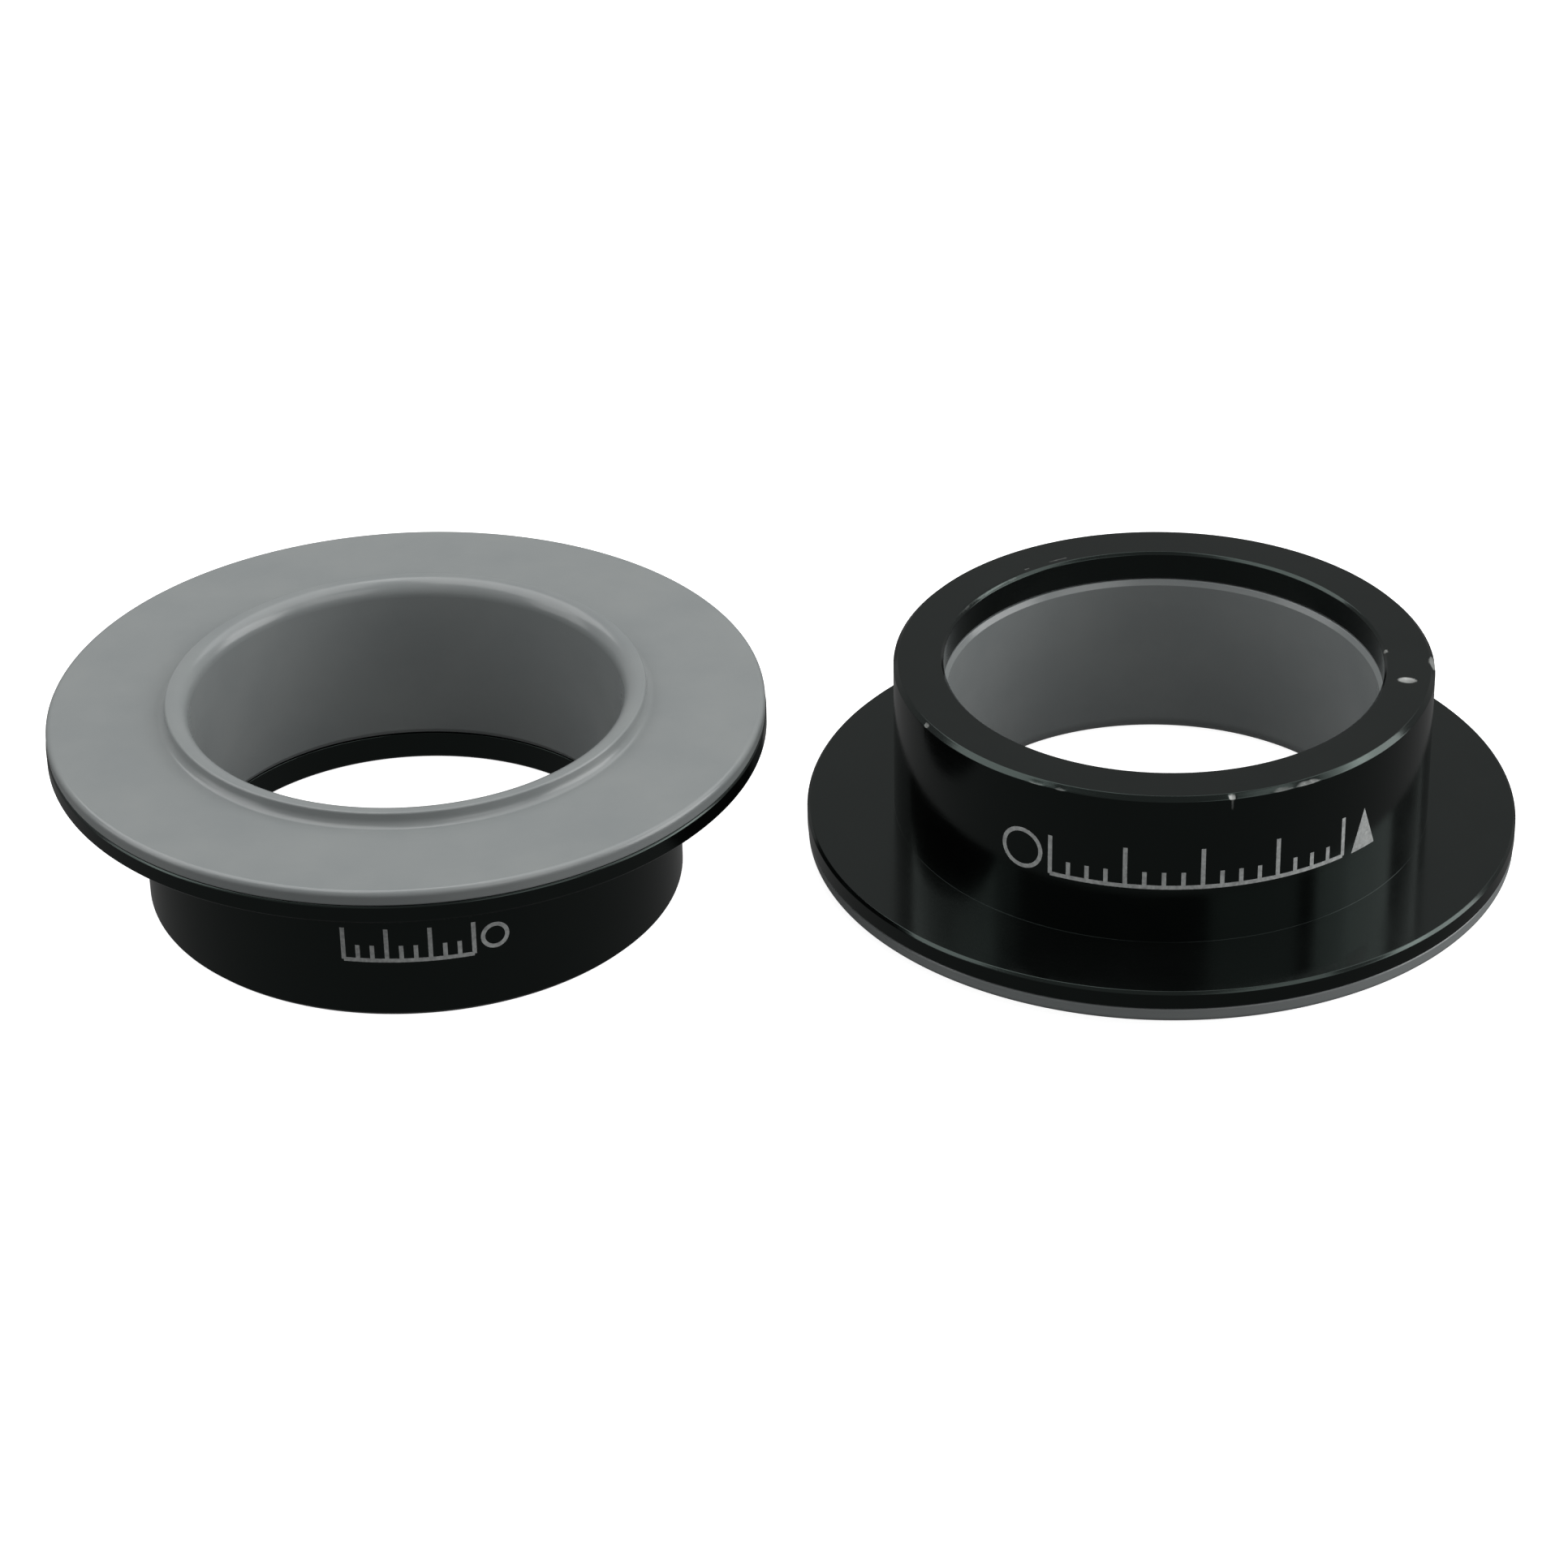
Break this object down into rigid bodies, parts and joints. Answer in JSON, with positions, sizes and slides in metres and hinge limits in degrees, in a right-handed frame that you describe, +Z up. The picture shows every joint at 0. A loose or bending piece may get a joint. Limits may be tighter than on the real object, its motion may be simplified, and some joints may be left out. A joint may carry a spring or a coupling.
{
  "type": "bottom bracket spindle reducer",
  "caption": "Flanged sleeves with flanged plastic liners that let a slim crank spindle run in wider bottom bracket bearings, one flange up and one flange down.",
  "frame": {"origin": "on the ground, midway between the two reducers' axes", "axes": "+X from the left reducer to the right one, +Y away from the viewer, +Z up along both bores"},
  "size_m": [0.0818, 0.0398, 0.0118],
  "materials": {
    "anodised_black": "turned, anodised black, satin gloss",
    "liner_grey": "moulded mid grey, soft gloss"
  },
  "bodies": {
    "left_sleeve": {"left_sleeve": "anodised_black"},
    "left_liner": {"left_liner": "liner_grey"},
    "right_liner": {"right_liner": "liner_grey"},
    "right_sleeve": {"right_sleeve": "anodised_black"}
  },
  "joints": [
    {"name": "left_liner_pull", "type": "slide", "parent": "left_sleeve", "child": "left_liner", "axis": [0, 0, 1], "range_m": [0, 0.012]},
    {"name": "right_reducer_shift", "type": "slide", "parent": "left_sleeve", "child": "right_liner", "axis": [1, 0, 0], "range_m": [0, 0.03]},
    {"name": "right_sleeve_lift", "type": "slide", "parent": "right_liner", "child": "right_sleeve", "axis": [0, 0, 1], "range_m": [0, 0.012]}
  ]
}
